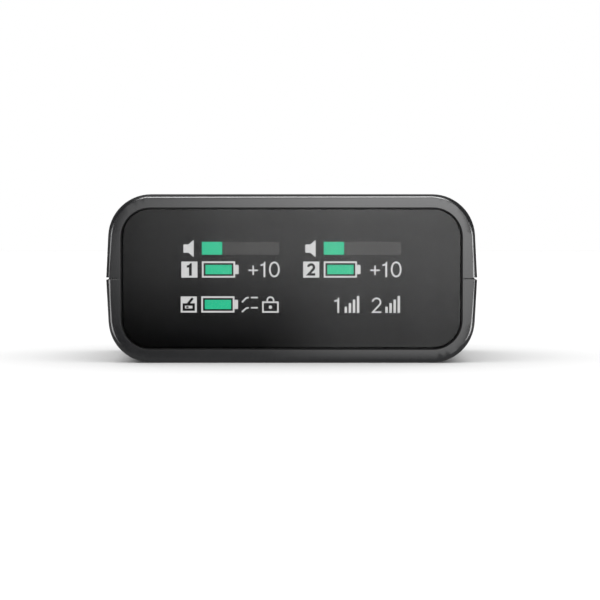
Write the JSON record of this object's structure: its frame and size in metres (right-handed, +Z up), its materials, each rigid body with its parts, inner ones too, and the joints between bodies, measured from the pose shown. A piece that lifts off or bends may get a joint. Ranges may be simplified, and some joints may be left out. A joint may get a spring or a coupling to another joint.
{
  "type": "wireless receiver unit",
  "caption": "Pocket-sized wireless audio receiver: two-shell case with rounded corners, front touch display, side jacks, USB-C socket, sprung power button and a slot underneath.",
  "frame": {"origin": "middle of the footprint, on the bottom face that the unit stands on", "axes": "+X to the right as seen from the display, +Y from the display towards the rear face, +Z up"},
  "size_m": [0.044, 0.028, 0.02],
  "materials": {
    "case_plastic": "fine satin moulding texture",
    "cover_glass": "smoked, polished",
    "gasket_black": "matt adhesive film",
    "display_glass": "polished",
    "foam_black": "open-cell foam",
    "bracket_steel": "stamped, brushed",
    "ribbon_film": "polyimide film",
    "connector_plastic": "moulded",
    "board_laminate": "solder resist",
    "chip_black": "moulded",
    "shield_steel": "tinned sheet",
    "gold_plate": "gold plated",
    "jack_plastic": "moulded",
    "collar_metal": "turned",
    "solder_tin": "tinned",
    "usb_steel": "drawn sheet",
    "button_plastic": "satin",
    "plunger_plastic": "moulded",
    "battery_foil": "laminated pouch",
    "lead_insulation": "extruded silicone",
    "rail_steel": "brushed",
    "screw_steel": "black oxide",
    "insert_brass": "turned and knurled"
  },
  "bodies": {
    "case": {"top_shell": "case_plastic", "bottom_shell": "case_plastic", "cover_glass": "cover_glass", "glass_gasket": "gasket_black", "display_module": "display_glass", "display_foam": "foam_black", "display_bracket": "bracket_steel", "display_ribbon": "ribbon_film", "ribbon_socket": "connector_plastic", "mainboard": "board_laminate", "board_chips": "chip_black", "shield_cans": "shield_steel", "crystal": "shield_steel", "antennas": "gold_plate", "line_out_jack": "jack_plastic", "headphone_jack": "jack_plastic", "jack_collars": "collar_metal", "jack_terminals": "solder_tin", "usb_shell": "usb_steel", "usb_tongue": "jack_plastic", "usb_contacts": "gold_plate", "switch_body": "chip_black", "battery": "battery_foil", "battery_foam": "foam_black", "battery_leads": "lead_insulation", "battery_plug": "connector_plastic", "battery_header": "connector_plastic", "accessory_rail": "rail_steel", "rail_screws": "screw_steel", "contact_block": "jack_plastic", "contact_pads": "gold_plate", "contact_pins": "gold_plate", "case_screws": "screw_steel", "threaded_inserts": "insert_brass"},
    "button": {"power_button": "button_plastic", "switch_plunger": "plunger_plastic"}
  },
  "joints": [
    {"name": "power_press", "type": "slide", "parent": "case", "child": "button", "axis": [-1, 0, 0], "range_m": [0, 0.0004], "stiffness_N_per_m": 600, "springref_m": -0.001}
  ]
}
